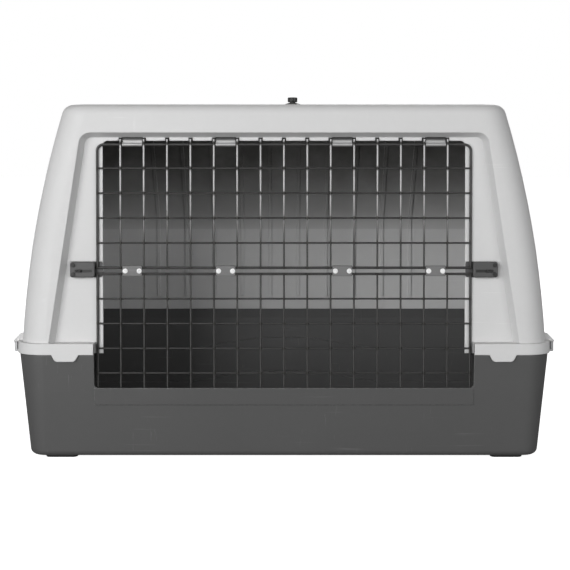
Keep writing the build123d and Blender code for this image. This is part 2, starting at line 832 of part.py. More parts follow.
def drill_latch_screws(body, side, y_low, y_high):
    """Remove the screw holes of one side's latch from a body."""
    for x, z in latch_screw_places():
        if x * side > 0:
            body -= rod((x, y_low, z), (x, y_high, z), screw_shank + 2 * screw_hole_gap)
    return body


def latch_plate(side):
    """Plate let into the door panel, which passes behind the door's frame wire."""
    inner = door_half_width - latch_plate_reach + latch_plate_clear
    back = panel_face + latch_plate_thickness
    plate = block((inner, latch_outer), (panel_face, back), (latch_low, latch_high))
    plate = fillet(plate.edges().filter_by(Axis.Y), latch_plate_corner)
    if side < 0:
        plate = mirrored(plate)
    return drill_latch_screws(plate, side, panel_face - OVER, back + OVER)


def bolt_span():
    """Low and high Y of the bolt, just in front of the door's frame wire."""
    back = door_plane - frame_wire / 2 - bolt_clearance
    return back - bolt_thickness, back


def latch_cover(side):
    """Cover with the channel for the bolt and the window for its thumb piece."""
    front = panel_face - latch_depth
    cover = block((latch_inner, latch_outer), (front, panel_face), (latch_low, latch_high))
    cover = fillet(cover.edges().filter_by(Axis.Y), latch_corner)
    cover = fillet(cover.faces().sort_by(Axis.Y)[0].edges(), latch_front_round)
    low, high = bolt_span()
    room = bolt_width / 2 + bolt_clearance
    channel_x = (latch_inner - OVER, latch_inner + bolt_length + bolt_clearance)
    channel_z = (link_height_mid - room, link_height_mid + room)
    cover -= block(channel_x, (low - bolt_clearance, panel_face + OVER), channel_z)
    window_x = (latch_inner + bolt_clearance + latch_window_wall, channel_x[1] - latch_cover_wall)
    thumb_room = thumb_width / 2 + bolt_clearance
    window_z = (link_height_mid - thumb_room, link_height_mid + thumb_room)
    cover -= block(window_x, (front - OVER, low), window_z)
    if side < 0:
        cover = mirrored(cover)
    return drill_latch_screws(cover, side, front - OVER, panel_face + OVER)


def latch_bolt(side):
    """Sliding bolt with its ridged thumb piece, drawn back clear of the door."""
    low, high = bolt_span()
    z_mid = link_height_mid
    half = bolt_width / 2
    bolt = block((latch_inner, latch_inner + bolt_length), (low, high), (z_mid - half, z_mid + half))
    tip = bolt.faces().sort_by(Axis.X)[0].edges()
    bolt = chamfer(tip.filter_by(Axis.Z).sort_by(Axis.Y)[-1], bolt_chamfer)
    thumb_end = latch_inner + bolt_length - latch_cover_wall
    front = panel_face - latch_depth - thumb_stand
    thumb_z = (z_mid - thumb_width / 2, z_mid + thumb_width / 2)
    thumb = block((thumb_end - thumb_length, thumb_end), (front, low + BITE), thumb_z)
    thumb = fillet(thumb.faces().sort_by(Axis.Y)[0].edges(), thumb_edge)
    first = thumb_end - thumb_length / 2 - thumb_groove_pitch * (thumb_grooves - 1) / 2
    for step in range(thumb_grooves):
        x = first + step * thumb_groove_pitch
        groove_x = (x - thumb_groove_width / 2, x + thumb_groove_width / 2)
        groove_z = (z_mid - thumb_width, z_mid + thumb_width)
        thumb -= block(groove_x, (front - OVER, front + thumb_groove_depth), groove_z)
    bolt = bolt + thumb
    return mirrored(bolt) if side < 0 else bolt


def latch_screws():
    """Screws that hold both latches to the door panel."""
    head_face = panel_face - latch_depth
    length = latch_depth + latch_plate_thickness + latch_screw_end
    return Compound([screw_along_y(x, head_face, z, length) for x, z in latch_screw_places()])


# ---------------------------------------------------------------- end clips
def end_clip():
    """Clip at the front right: knuckle on its pin, arm, and nose under the tray lug."""
    nose_high = rim_top - lug_drop - lug_height - clip_nose_gap
    nose_low = nose_high - clip_nose_height
    out = shell_half_x + clip_reach - clip_set_back
    arm_in = out - clip_arm
    nose_in = arm_in - clip_nose_reach
    half = clip_length / 2
    ends = (-clip_y - half, -clip_y + half)
    bore_ends = (ends[0] - OVER, ends[1] + OVER)
    arm_high = clip_pivot_z + clip_knuckle - clip_knuckle_step
    arm_low = clip_pivot_z - clip_knuckle + clip_knuckle_step
    knuckle_start = (clip_pivot_x, ends[0], clip_pivot_z)
    knuckle_end = (clip_pivot_x, ends[1], clip_pivot_z)
    arm_points = [
        (clip_pivot_x, arm_high),
        (out - clip_shoulder, arm_high),
        (out, arm_high - clip_shoulder),
        (out, nose_low + clip_toe),
        (out - clip_toe, nose_low),
        (nose_in, nose_low),
        (nose_in, nose_high),
        (arm_in, nose_high),
        (arm_in, arm_low),
        (clip_pivot_x, arm_low),
    ]
    clip = rod(knuckle_start, knuckle_end, 2 * clip_knuckle) + profile_xz(arm_points, *ends)
    groove_y = (ends[0] + clip_groove_margin, ends[1] - clip_groove_margin)
    for index in range(clip_grooves):
        z = nose_low + clip_groove_start + index * clip_groove_pitch
        clip -= block((out - clip_groove_depth, out + OVER), groove_y, (z, z + clip_groove_width))
    bore_start = (clip_pivot_x, bore_ends[0], clip_pivot_z)
    bore_end = (clip_pivot_x, bore_ends[1], clip_pivot_z)
    return clip - rod(bore_start, bore_end, clip_pin + 2 * running_gap)


def clip_pins():
    """Pins of all four clips."""
    reach = clip_length / 2 + clip_side_gap + clip_ear_width
    start = (clip_pivot_x, -clip_y - reach, clip_pivot_z)
    end = (clip_pivot_x, -clip_y + reach, clip_pivot_z)
    return Compound(all_corners(rod(start, end, clip_pin)))


# ---------------------------------------------------------------- roof clamp
def knob_base():
    """Domed seat of the knob on the roof."""
    radius = knob_base_diameter / 2
    up = (Align.CENTER, Align.CENTER, Align.MIN)
    rim = Cylinder(radius, knob_base_edge, align=up)
    crown_height = knob_base_height - knob_base_edge
    crown = Pos(0, 0, knob_base_edge) * Cone(radius, knob_base_crown / 2, crown_height, align=up)
    seat = rim + crown
    top_edge = seat.edges().filter_by(GeomType.CIRCLE).sort_by(Axis.Z)[-1]
    seat = Pos(knob_x, knob_y, roof_height) * fillet(top_edge, knob_base_edge)
    low = (knob_x, knob_y, roof_height - OVER)
    high = (knob_x, knob_y, roof_height + knob_base_height + OVER)
    return seat - rod(low, high, stud_diameter + 2 * stud_gap)


def roof_knob():
    """Fluted knob that turns the stud."""
    low = roof_height + knob_base_height
    cap_low = low + knob_neck_height
    up = (Align.CENTER, Align.CENTER, Align.MIN)
    neck = Pos(0, 0, low) * Cylinder(knob_neck_diameter / 2, knob_neck_height + BITE, align=up)
    cap = Pos(0, 0, cap_low) * Cylinder(knob_diameter / 2, knob_height, align=up)
    cap = fillet(cap.edges().filter_by(GeomType.CIRCLE), knob_edge)
    flute_circle = knob_diameter / 2 + knob_flute_out
    for index in range(knob_flutes):
        angle = 2 * math.pi * (index + 0.5) / knob_flutes
        place = Pos(flute_circle * math.cos(angle), flute_circle * math.sin(angle), cap_low - OVER)
        cap -= place * Cylinder(knob_flute_radius, knob_height + 2 * OVER, align=up)
    socket = Pos(0, 0, low - knob_socket_depth) * Cylinder(stud_diameter / 2, knob_height, align=up)
    return Pos(knob_x, knob_y, 0) * (neck + cap - socket)


def clamp_stud():
    """Stud that turns with the knob and passes down through the roof."""
    high = roof_height + knob_base_height - knob_socket_depth + knob_height
    low = roof_height - shell_wall - clamp_plate_thickness - stud_below
    return rod((knob_x, knob_y, low), (knob_x, knob_y, high), stud_diameter)


def clamp_plate():
    """Square nut plate under the roof."""
    high = roof_height - shell_wall
    low = high - clamp_plate_thickness
    outline = RectangleRounded(clamp_plate_size, clamp_plate_size, clamp_plate_corner)
    plate = Pos(knob_x, knob_y, low) * extrude(outline, clamp_plate_thickness)
    bore = stud_diameter + 2 * running_gap
    return plate - rod((knob_x, knob_y, low - OVER), (knob_x, knob_y, high + OVER), bore)


# ---------------------------------------------------------------- all pieces
def all_nodes():
    """Every piece of the crate by its name."""
    nodes = {
        "lower_tray": lower_tray(),
        "upper_shell": upper_shell(),
        "upper_grille": grille(upper_rod, door_top, wire_tip),
        "lower_grille": grille(lower_rod, door_bottom, frame_wire / 2),
    }
    for number, x in enumerate(hinge_x, start=1):
        nodes[f"top_strap_{number}"] = top_strap(x)
        nodes[f"link_front_{number}"] = link_half(x, front=True)
        nodes[f"link_rear_{number}"] = link_half(x, front=False)
    nodes["strap_screws"] = strap_screws()
    nodes["link_screws"] = link_screws()
    for name, side in (("left", -1), ("right", 1)):
        nodes[f"{name}_latch_plate"] = latch_plate(side)
        nodes[f"{name}_latch_cover"] = latch_cover(side)
        nodes[f"{name}_latch_bolt"] = latch_bolt(side)
    nodes["latch_screws"] = latch_screws()
    places = ("front_right", "rear_right", "front_left", "rear_left")
    for place, clip in zip(places, all_corners(end_clip())):
        nodes[f"clip_{place}"] = clip
    nodes["clip_pins"] = clip_pins()
    nodes["knob_base"] = knob_base()
    nodes["roof_knob"] = roof_knob()
    nodes["clamp_stud"] = clamp_stud()
    nodes["clamp_plate"] = clamp_plate()
    for number, (x, y) in enumerate(foot_places(), start=1):
        nodes[f"rubber_foot_{number}"] = rubber_foot(x, y)
    return nodes


os.makedirs("parts", exist_ok=True)
for name, shape in all_nodes().items():
    export_step(shape, f"parts/{name}.step")
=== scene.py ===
"""Animal transport crate: its finishes, small fittings, studio and camera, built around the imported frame."""

import logging
import math
from dataclasses import dataclass, field
from enum import Enum

import bmesh
import bpy
from mathutils import Matrix, Vector


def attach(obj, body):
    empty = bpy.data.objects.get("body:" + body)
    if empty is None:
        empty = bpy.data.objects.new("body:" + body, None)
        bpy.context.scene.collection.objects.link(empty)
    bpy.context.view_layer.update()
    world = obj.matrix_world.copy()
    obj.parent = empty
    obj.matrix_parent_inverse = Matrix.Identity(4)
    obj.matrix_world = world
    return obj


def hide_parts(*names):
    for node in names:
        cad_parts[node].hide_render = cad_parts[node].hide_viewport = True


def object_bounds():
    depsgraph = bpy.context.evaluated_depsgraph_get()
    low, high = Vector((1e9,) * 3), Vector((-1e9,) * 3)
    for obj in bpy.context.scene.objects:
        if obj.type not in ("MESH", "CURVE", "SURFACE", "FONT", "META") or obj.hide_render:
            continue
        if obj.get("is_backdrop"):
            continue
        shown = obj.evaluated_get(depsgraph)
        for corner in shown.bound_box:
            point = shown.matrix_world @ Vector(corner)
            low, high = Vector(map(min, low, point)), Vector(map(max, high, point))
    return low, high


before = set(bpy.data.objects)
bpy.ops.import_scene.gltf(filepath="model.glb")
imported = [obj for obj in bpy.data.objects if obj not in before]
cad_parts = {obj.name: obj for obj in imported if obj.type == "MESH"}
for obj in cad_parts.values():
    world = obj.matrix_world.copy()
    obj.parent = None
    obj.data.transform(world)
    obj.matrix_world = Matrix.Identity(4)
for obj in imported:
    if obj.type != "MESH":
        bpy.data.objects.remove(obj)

LOG = logging.getLogger("crate")
SENSOR_WIDTH = 36.0
FAR_CLIP = 1000.0
FACES_FRONT = -0.9
FACES_DOWN = -0.1
DUST_DULLS = 0.35
WEAR_POLISHES = -0.12
GRAIN_DULLS = 0.12
SCRATCH_DEPTH = -0.8
PLATING_DULLS = 0.3
WELD_DULLS = 0.2
Colour = tuple[float, float, float, float]
Place = tuple[float, float, float]


def grey(value: float, warmth: float = 0.0) -> Colour:
    """Return a near-neutral colour.

    Args:
        value: Linear brightness.
        warmth: Share by which red rises and blue falls.

    Returns:
        The colour with full alpha.
    """
    return (value * (1.0 + warmth), value, value * (1.0 - warmth), 1.0)


class Bench:
    """Modelling steps that every new piece shares."""

    @staticmethod
    def clear() -> None:
        """Leave edit mode and deselect everything."""
        if bpy.context.object and bpy.context.object.mode != "OBJECT":
            bpy.ops.object.mode_set(mode="OBJECT")
        bpy.ops.object.select_all(action="DESELECT")

    @staticmethod
    def pick(piece: bpy.types.Object) -> None:
        """Make one piece the only selected and active one."""
        Bench.clear()
        piece.select_set(True)
        bpy.context.view_layer.objects.active = piece

    @staticmethod
    def take(name: str) -> bpy.types.Object:
        """Name the primitive that was just added and return it."""
        piece = bpy.context.object
        piece.name = name
        piece.data.name = name
        return piece

    @staticmethod
    def settle(piece: bpy.types.Object) -> bpy.types.Object:
        """Move a piece's place, turn and size into its mesh."""
        Bench.pick(piece)
        bpy.ops.object.transform_apply(location=True, rotation=True, scale=True)
        return piece

    @staticmethod
    def finish_with(piece: bpy.types.Object, kind: str, **settings: object) -> None:
        """Add a modifier and apply it.

        Args:
            piece: The piece to change.
            kind: Blender's modifier type.
            settings: The modifier's values.
        """
        Bench.pick(piece)
        modifier = piece.modifiers.new(kind.title(), kind)
        for key, value in settings.items():
            setattr(modifier, key, value)
        bpy.ops.object.modifier_apply(modifier=modifier.name)

    @staticmethod
    def carve(piece: bpy.types.Object, cutter: bpy.types.Object) -> None:
        """Cut one mesh out of another and throw the cutter away."""
        Bench.finish_with(piece, "BOOLEAN", object=cutter, operation="DIFFERENCE", solver="EXACT")
        bpy.data.objects.remove(cutter)

    @staticmethod
    def join(pieces: list[bpy.types.Object], name: str) -> bpy.types.Object:
        """Make one piece of several.

        Args:
            pieces: The meshes to join.
            name: The name of the result.

        Returns:
            The joined piece, with its place in its mesh.
        """
        Bench.clear()
        for piece in pieces:
            piece.select_set(True)
        bpy.context.view_layer.objects.active = pieces[0]
        bpy.ops.object.join()
        return Bench.settle(Bench.take(name))

    @staticmethod
    def repeat(pattern: bpy.types.Object, places: list[Matrix], name: str) -> bpy.types.Object:
        """Copy a pattern to each place and join the copies.

        Args:
            pattern: The piece to copy, which is thrown away afterwards.
            places: Where each copy stands.
            name: The name of the result.

        Returns:
            One piece that holds every copy.
        """
        copies = []
        for place in places:
            copy = pattern.copy()
            copy.data = pattern.data.copy()
            copy.matrix_world = place
            bpy.context.scene.collection.objects.link(copy)
            copies.append(copy)
        bpy.data.objects.remove(pattern)
        bpy.context.view_layer.update()
        return Bench.join(copies, name)

    @staticmethod
    def smooth(piece: bpy.types.Object, angle: float = 40.0) -> None:
        """Shade a piece smooth up to an angle in degrees."""
        Bench.pick(piece)
        bpy.ops.object.shade_smooth_by_angle(angle=math.radians(angle))


class Wiring:
    """Adds and links the nodes of one node tree."""

    def __init__(self, tree: bpy.types.NodeTree) -> None:
        """Start on a tree."""
        self.tree = tree

    def add(self, kind: str, **settings: object) -> bpy.types.Node:
        """Add a node and set its properties.

        Args:
            kind: The node's type without its ShaderNode prefix.
            settings: Properties of the node.

        Returns:
            The new node.
        """
        node = self.tree.nodes.new(kind if kind.startswith("Node") else f"ShaderNode{kind}")
        for key, value in settings.items():
            setattr(node, key, value)
        return node

    def join(self, source: bpy.types.NodeSocket, target: bpy.types.NodeSocket) -> None:
        """Link an output to an input."""
        self.tree.links.new(source, target)

    def sum(self, operation: str, *values: object) -> bpy.types.NodeSocket:
        """Add a Math node.

        Args:
            operation: The sum to do.
            values: A socket or a number for each input.

        Returns:
            The result's socket.
        """
        node = self.add("Math", operation=operation)
        for socket, value in zip(node.inputs, values):
            self.feed(value, socket)
        return node.outputs[0]

    def feed(self, value: object, socket: bpy.types.NodeSocket) -> None:
        """Give an input a link or a fixed value."""
        if isinstance(value, bpy.types.NodeSocket):
            self.join(value, socket)
        else:
            socket.default_value = value

    def ramp(self, value: bpy.types.NodeSocket, low: float, high: float) -> bpy.types.NodeSocket:
        """Spread the part of a value between two limits over 0 to 1."""
        node = self.add("MapRange", interpolation_type="SMOOTHSTEP")
        self.join(value, node.inputs["Value"])
        node.inputs["From Min"].default_value = low
        node.inputs["From Max"].default_value = high
        return node.outputs["Result"]

    def noise(
        self, vector: bpy.types.NodeSocket, scale: object, detail: float = 3.0, roughness: float = 0.5
    ) -> bpy.types.NodeSocket:
        """Add a noise pattern and return its value."""
        node = self.add("TexNoise")
        self.join(vector, node.inputs["Vector"])
        self.feed(scale, node.inputs["Scale"])
        node.inputs["Detail"].default_value = detail
        node.inputs["Roughness"].default_value = roughness
        return node.outputs["Fac"]

    def stretch(
        self, vector: bpy.types.NodeSocket, scale: Place, turn: Place = (0.0, 0.0, 0.0)
    ) -> bpy.types.NodeSocket:
        """Scale and turn a pattern's coordinates."""
        node = self.add("Mapping")
        self.join(vector, node.inputs["Vector"])
        node.inputs["Scale"].default_value = scale
        node.inputs["Rotation"].default_value = turn
        return node.outputs["Vector"]


class Effect(Enum):
    """Surface effects that several finishes share."""

    GRAIN = "moulded grain"
    SCUFFS = "scuff marks"
    RUB = "rubbed edges"
    DUST = "settled dust"
    CLOUD = "colour cloud"
    WELD = "weld tint"
    # Painted shade on inner faces that look down, darker towards the roof.
    UNDERSIDE_SHADE = "painted shade under a roof"


class Effects:
    """Builds each shared effect once, as a node group."""

    def __init__(self) -> None:
        """Build every group."""
        self.groups = {
            Effect.GRAIN: self._grain(),
            Effect.SCUFFS: self._scuffs(),
            Effect.RUB: self._rub(),
            Effect.DUST: self._dust(),
            Effect.CLOUD: self._cloud(),
            Effect.WELD: self._weld(),
            Effect.UNDERSIDE_SHADE: self._underside_shade(),
        }

    def _start(
        self, effect: Effect, inputs: dict[str, float], outputs: list[str]
    ) -> tuple[Wiring, bpy.types.Node, bpy.types.Node]:
        """Make an empty group with its sockets.

        Args:
            effect: The effect that names the group.
            inputs: The name and usual value of each input.
            outputs: The name of each output.

        Returns:
            The wiring, the group's input node and its output node.
        """
        tree = bpy.data.node_groups.new(effect.value, "ShaderNodeTree")
        for name, value in inputs.items():
            socket = tree.interface.new_socket(name, in_out="INPUT", socket_type="NodeSocketFloat")
            socket.default_value = value
        for name in outputs:
            kind = "NodeSocketVector" if name == "Normal" else "NodeSocketFloat"
            tree.interface.new_socket(name, in_out="OUTPUT", socket_type=kind)
        wiring = Wiring(tree)
        return wiring, wiring.add("NodeGroupInput"), wiring.add("NodeGroupOutput")

    @staticmethod
    def _share(
        wiring: Wiring,
        given: bpy.types.Node,
        out: bpy.types.Node,
        first: bpy.types.NodeSocket,
        second: bpy.types.NodeSocket,
    ) -> None:
        """Put the product of two masks and the group's amount out as its mask.

        Args:
            wiring: The group's wiring.
            given: The group's input node.
            out: The group's output node.
            first: One mask.
            second: The other mask.
        """
        mask = wiring.sum("MULTIPLY", first, second)
        wiring.join(wiring.sum("MULTIPLY", mask, given.outputs["Amount"]), out.inputs["Mask"])

    def _grain(self) -> bpy.types.NodeTree:
        """Fine spark-eroded grain of moulded plastic, as a height."""
        wiring, given, out = self._start(Effect.GRAIN, {"Scale": 900.0, "Depth": 1.0}, ["Height"])
        place = wiring.add("TexCoord").outputs["Object"]
        fine = wiring.noise(place, given.outputs["Scale"], 2.0, 0.6)
        cells = wiring.add("TexVoronoi", feature="SMOOTH_F1")
        wiring.join(place, cells.inputs["Vector"])
        wiring.join(wiring.sum("MULTIPLY", given.outputs["Scale"], 0.55), cells.inputs["Scale"])
        cell_share = wiring.sum("MULTIPLY", cells.outputs["Distance"], 0.4)
        both = wiring.sum("MULTIPLY_ADD", fine, 0.6, cell_share)
        wiring.join(wiring.sum("MULTIPLY", both, given.outputs["Depth"]), out.inputs["Height"])
        return wiring.tree

    def _scuffs(self) -> bpy.types.NodeTree:
        """Thin handling scratches in two directions, as a mask."""
        wiring, given, out = self._start(Effect.SCUFFS, {"Amount": 0.5}, ["Mask"])
        place = wiring.add("TexCoord").outputs["Object"]
        flat = wiring.noise(wiring.stretch(place, (6.0, 6.0, 260.0), (0.12, 0.3, 0.0)), 1.0, 2.0)
        steep = wiring.noise(wiring.stretch(place, (240.0, 240.0, 9.0), (0.25, 0.5, 0.4)), 1.0, 2.0)
        area = wiring.ramp(wiring.noise(place, 9.0, 2.0), 0.5, 0.68)
        lines = wiring.sum("MAXIMUM", wiring.ramp(flat, 0.63, 0.72), wiring.ramp(steep, 0.66, 0.74))
        self._share(wiring, given, out, lines, area)
        return wiring.tree

    def _rub(self) -> bpy.types.NodeTree:
        """Edges softened and rubbed by use, as a mask and a rounded normal."""
        wiring, given, out = self._start(Effect.RUB, {"Radius": 0.002, "Amount": 1.0}, ["Mask", "Normal"])
        bevel = wiring.add("Bevel", samples=6)
        wiring.join(given.outputs["Radius"], bevel.inputs["Radius"])
        true = wiring.add("NewGeometry")
        dot = wiring.add("VectorMath", operation="DOT_PRODUCT")
        wiring.join(bevel.outputs["Normal"], dot.inputs[0])
        wiring.join(true.outputs["Normal"], dot.inputs[1])
        bent = wiring.ramp(wiring.sum("SUBTRACT", 1.0, dot.outputs["Value"]), 0.02, 0.25)
        place = wiring.add("TexCoord").outputs["Object"]
        broken = wiring.ramp(wiring.noise(place, 130.0, 4.0, 0.65), 0.3, 0.62)
        self._share(wiring, given, out, bent, broken)
        wiring.join(bevel.outputs["Normal"], out.inputs["Normal"])
        return wiring.tree

    def _dust(self) -> bpy.types.NodeTree:
        """Dust that lies on what faces up, as a mask."""
        wiring, given, out = self._start(Effect.DUST, {"Amount": 0.3}, ["Mask"])
        split = wiring.add("SeparateXYZ")
        wiring.join(wiring.add("NewGeometry").outputs["Normal"], split.inputs[0])
        up = wiring.ramp(split.outputs["Z"], 0.35, 0.95)
        place = wiring.add("TexCoord").outputs["Object"]
        patches = wiring.ramp(wiring.noise(place, 28.0, 5.0, 0.65), 0.32, 0.75)
        self._share(wiring, given, out, up, patches)
        return wiring.tree

    def _cloud(self) -> bpy.types.NodeTree:
        """Broad uneven colour, from -1 to 1 times the amount."""
        wiring, given, out = self._start(Effect.CLOUD, {"Scale": 6.0, "Amount": 0.05}, ["Value"])
        place = wiring.add("TexCoord").outputs["Object"]
        broad = wiring.noise(place, given.outputs["Scale"], 3.0, 0.55)
        fine = wiring.noise(place, wiring.sum("MULTIPLY", given.outputs["Scale"], 14.0), 3.0, 0.6)
        mixed = wiring.sum("ADD", wiring.sum("MULTIPLY", broad, 1.3), wiring.sum("MULTIPLY", fine, 0.7))
        about_zero = wiring.sum("SUBTRACT", mixed, 1.0)
        wiring.join(wiring.sum("MULTIPLY", about_zero, given.outputs["Amount"]), out.inputs["Value"])
        return wiring.tree

    def _weld(self) -> bpy.types.NodeTree:
        """Heat tint round each spot weld of a wire mesh, as a mask."""
        inputs = {"Pitch X": 0.045, "Pitch Z": 0.048, "Start Z": 0.366, "Reach": 0.006}
        wiring, given, out = self._start(Effect.WELD, inputs, ["Mask"])
        split = wiring.add("SeparateXYZ")
        wiring.join(wiring.add("TexCoord").outputs["Object"], split.inputs[0])
        half_across = wiring.sum("MULTIPLY", given.outputs["Pitch X"], 0.5)
        across = wiring.sum("PINGPONG", split.outputs["X"], half_across)
        height = wiring.sum("SUBTRACT", split.outputs["Z"], given.outputs["Start Z"])
        half_up = wiring.sum("MULTIPLY", given.outputs["Pitch Z"], 0.5)
        along = wiring.sum("PINGPONG", height, half_up)
        along_squared = wiring.sum("MULTIPLY", along, along)
        far = wiring.sum("SQRT", wiring.sum("MULTIPLY_ADD", across, across, along_squared))
        near = wiring.sum("SUBTRACT", 1.0, wiring.sum("DIVIDE", far, given.outputs["Reach"]))
        wiring.join(wiring.ramp(near, 0.0, 0.8), out.inputs["Mask"])
        return wiring.tree

    def _underside_shade(self) -> bpy.types.NodeTree:
        """Painted shade on inner faces that look down, darker towards the roof, as a mask."""
        inputs = {"Low": 0.34, "High": 0.62, "Front": -0.3, "Amount": 0.0}
        wiring, given, out = self._start(Effect.UNDERSIDE_SHADE, inputs, ["Mask"])
        place = wiring.add("TexCoord").outputs["Object"]
        split = wiring.add("SeparateXYZ")
        wiring.join(place, split.inputs[0])
        facing = wiring.add("SeparateXYZ")
        wiring.join(wiring.add("NewGeometry").outputs["Normal"], facing.inputs[0])
        down = wiring.sum("LESS_THAN", facing.outputs["Z"], FACES_DOWN)
        behind = wiring.sum("GREATER_THAN", split.outputs["Y"], given.outputs["Front"])
        band = wiring.sum("SUBTRACT", given.outputs["High"], given.outputs["Low"])
        above_low = wiring.sum("SUBTRACT", split.outputs["Z"], given.outputs["Low"])
        climb = wiring.ramp(wiring.sum("DIVIDE", above_low, band), 0.0, 1.0)
        uneven = wiring.sum("MULTIPLY_ADD", wiring.noise(place, 11.0, 4.0, 0.6), 0.5, 0.75)
        inside = wiring.sum("MULTIPLY", down, behind)
        self._share(wiring, given, out, inside, wiring.sum("MULTIPLY", climb, uneven))
        return wiring.tree


class Coat:
    """A material under construction: one Principled shader and the effects that feed it."""

    def __init__(self, name: str, effects: Effects) -> None:
        """Start a material with an empty Principled shader."""
        self.material = bpy.data.materials.new(name)
        self.material.use_nodes = True
        self.effects = effects
        self.wiring = Wiring(self.material.node_tree)
        self.shader = self.material.node_tree.nodes["Principled BSDF"]

    def effect(self, effect: Effect, **values: float) -> bpy.types.Node:
        """Place a shared effect.

        Args:
            effect: Which effect.
            values: Its inputs, with spaces written as underscores.

        Returns:
            The group's node.
        """
        node = self.wiring.add("Group", node_tree=self.effects.groups[effect])
        for key, value in values.items():
            node.inputs[key.replace("_", " ")].default_value = value
        return node

    def tint(self, base: object, other: Colour, mask: bpy.types.NodeSocket) -> bpy.types.NodeSocket:
        """Mix a second colour over the first by a mask."""
        mix = self.wiring.add("Mix", data_type="RGBA")
        self.wiring.join(mask, mix.inputs["Factor"])
        self.wiring.feed(base, mix.inputs[6])
        self.wiring.feed(other, mix.inputs[7])
        return mix.outputs[2]

    def brighten(self, base: object, by: bpy.types.NodeSocket) -> bpy.types.NodeSocket:
        """Multiply a colour by one plus a value."""
        factor = self.wiring.sum("ADD", by, 1.0)
        scale = self.wiring.add("VectorMath", operation="SCALE")
        if isinstance(base, bpy.types.NodeSocket):
            self.wiring.join(base, scale.inputs[0])
        else:
            scale.inputs[0].default_value = base[:3]
        self.wiring.join(factor, scale.inputs["Scale"])
        return scale.outputs[0]

    def bump(
        self, height: bpy.types.NodeSocket, distance: float, strength: float, normal: object = None
    ) -> None:
        """Raise the surface by a height.

        Args:
            height: The height's socket.
            distance: How far full height stands out, in metres.
            strength: The bump's strength.
            normal: A normal to start from, if any.
        """
        node = self.wiring.add("Bump")
        node.inputs["Distance"].default_value = distance
        node.inputs["Strength"].default_value = strength
        self.wiring.join(height, node.inputs["Height"])
        if normal is not None:
            self.wiring.join(normal, node.inputs["Normal"])
        self.wiring.join(node.outputs["Normal"], self.shader.inputs["Normal"])

    def set(self, socket: str, value: object) -> None:
        """Give one of the shader's inputs a link or a value."""
        self.wiring.feed(value, self.shader.inputs[socket])


@dataclass(frozen=True)
class MouldedPlastic:
    """Injection-moulded plastic with a fine grain, rubbed edges, scuffs, a little dust and, where asked for,
    painted shade on inner faces under the roof.

    Attributes:
        name: The material's name.
        colour: Its base colour.
        worn: The colour of rubbed edges and scratches.
        dust: The colour of dust on it.
        roughness: Its usual roughness.
        grain_scale: Grains to a metre.
        grain_depth: Depth of the grain, in metres.
        cloud: How uneven the colour is.
        scuffs: How much it is scratched.
        edge_lightening: How much its rubbed edges are lightened.
        dusty: How much dust lies on it.
        edge: Radius over which edges look rounded, in metres.
        underside_shade: How much painted shade darkens its inner faces under the roof.
        underside_shade_colour: The colour of that painted shade.
    """

    name: str
    colour: Colour
    worn: Colour
    dust: Colour
    roughness: float = 0.5
    grain_scale: float = 900.0
    grain_depth: float = 0.0002
    cloud: float = 0.04
    scuffs: float = 0.4
    edge_lightening: float = 0.5
    dusty: float = 0.3
    edge: float = 0.002
    underside_shade: float = 0.0
    underside_shade_colour: Colour = (0.11, 0.108, 0.103, 1.0)

    def make(self, effects: Effects) -> bpy.types.Material:
        """Build the material."""
        coat = Coat(self.name, effects)
        sums = coat.wiring
        cloud = coat.effect(Effect.CLOUD, Amount=self.cloud)
        scuffs = coat.effect(Effect.SCUFFS, Amount=self.scuffs)
        edge_lightening = coat.effect(Effect.RUB, Radius=self.edge, Amount=self.edge_lightening)
        dust = coat.effect(Effect.DUST, Amount=self.dusty)
        grain = coat.effect(Effect.GRAIN, Scale=self.grain_scale)
        colour = coat.brighten(self.colour, cloud.outputs["Value"])
        worn = sums.sum("MAXIMUM", edge_lightening.outputs["Mask"], scuffs.outputs["Mask"])
        colour = coat.tint(colour, self.worn, worn)
        colour = coat.tint(colour, self.dust, dust.outputs["Mask"])
        # Painted shade: inner faces that look down turn darker towards the roof.
        if self.underside_shade > 0.0:
            underside_shade = coat.effect(Effect.UNDERSIDE_SHADE, Amount=self.underside_shade)
            colour = coat.tint(colour, self.underside_shade_colour, underside_shade.outputs["Mask"])
        coat.set("Base Color", colour)
        rough = sums.sum("MULTIPLY_ADD", dust.outputs["Mask"], DUST_DULLS, self.roughness)
        rough = sums.sum("MULTIPLY_ADD", worn, WEAR_POLISHES, rough)
        rough = sums.sum("MULTIPLY_ADD", grain.outputs["Height"], GRAIN_DULLS, rough)
        coat.set("Roughness", rough)
        height = sums.sum("MULTIPLY_ADD", scuffs.outputs["Mask"], SCRATCH_DEPTH, grain.outputs["Height"])
        coat.bump(height, self.grain_depth, strength=0.6, normal=edge_lightening.outputs["Normal"])
        return coat.material


